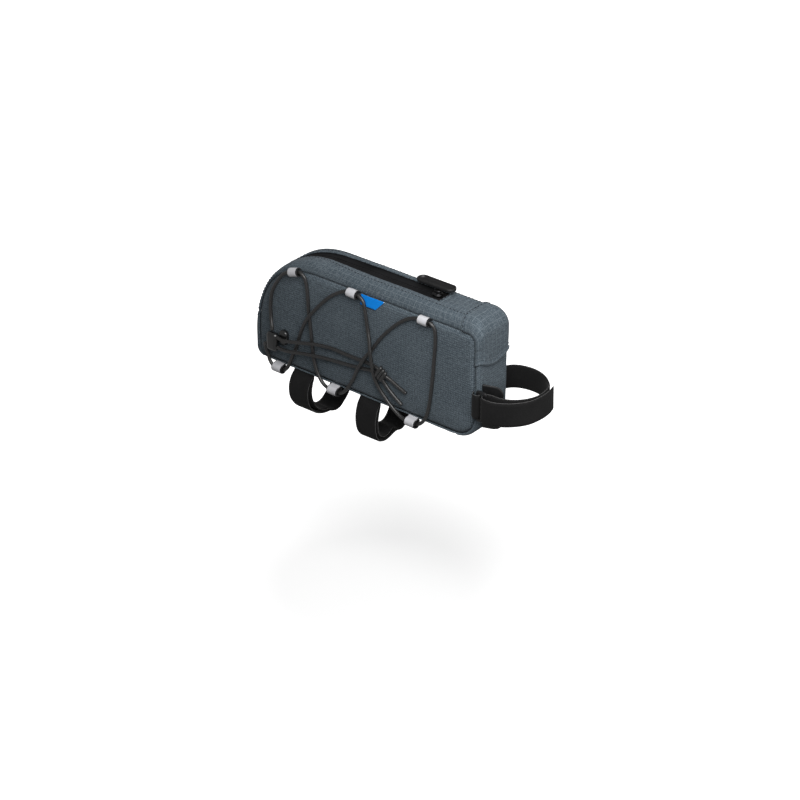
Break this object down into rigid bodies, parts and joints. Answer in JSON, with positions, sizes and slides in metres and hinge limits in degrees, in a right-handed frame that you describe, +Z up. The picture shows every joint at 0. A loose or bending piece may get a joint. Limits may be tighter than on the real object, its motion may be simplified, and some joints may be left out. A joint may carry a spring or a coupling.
{
  "type": "top tube bag",
  "caption": "Narrow zipped bicycle frame bag with padded sides, a curved rear, hook-and-loop straps for the tubes and an elastic cord laced over one side.",
  "frame": {"origin": "middle of the base, where the bag sits on a bicycle's top tube", "axes": "+X towards the bicycle's front, +Z up, -Y is the side with the laced cord"},
  "size_m": [0.3219, 0.0811, 0.1853],
  "materials": {
    "panel_cloth": "matt heathered ripstop",
    "webbing": "matt woven",
    "elastic_cord": "braided",
    "zip_tape": "satin coated",
    "tag_cloth": "matt",
    "soft_rubber": "satin",
    "gloss_plastic": "glossy",
    "slider_metal": "satin"
  },
  "bodies": {
    "root": {"side_panel_near": "panel_cloth", "side_panel_far": "panel_cloth", "top_strip_near": "panel_cloth", "top_strip_far": "panel_cloth", "zip_end_tab": "panel_cloth", "front_hood": "panel_cloth", "front_panel": "panel_cloth", "base_panel": "panel_cloth", "rear_panel": "panel_cloth", "loop_top_rear": "webbing", "loop_top_mid": "webbing", "loop_top_front": "webbing", "loop_base_rear": "webbing", "loop_base_mid": "webbing", "loop_base_front": "webbing", "base_strap_rear_outer": "webbing", "base_strap_rear_inner": "webbing", "base_strap_front_outer": "webbing", "base_strap_front_inner": "webbing", "front_strap": "webbing", "ring_anchor": "webbing", "lacing_cord": "elastic_cord", "cord_tail_upper": "elastic_cord", "cord_tail_lower": "elastic_cord", "cord_tip_upper": "elastic_cord", "cord_tip_lower": "elastic_cord", "cord_knot": "elastic_cord", "zip_tape_near": "zip_tape", "zip_tape_far": "zip_tape", "seam_tag": "tag_cloth", "zip_puller": "soft_rubber", "slot_ring": "soft_rubber", "ring_flap": "soft_rubber", "cord_lock_body": "gloss_plastic", "cord_lock_plunger": "gloss_plastic", "zip_slider": "slider_metal"}
  },
  "joints": []
}
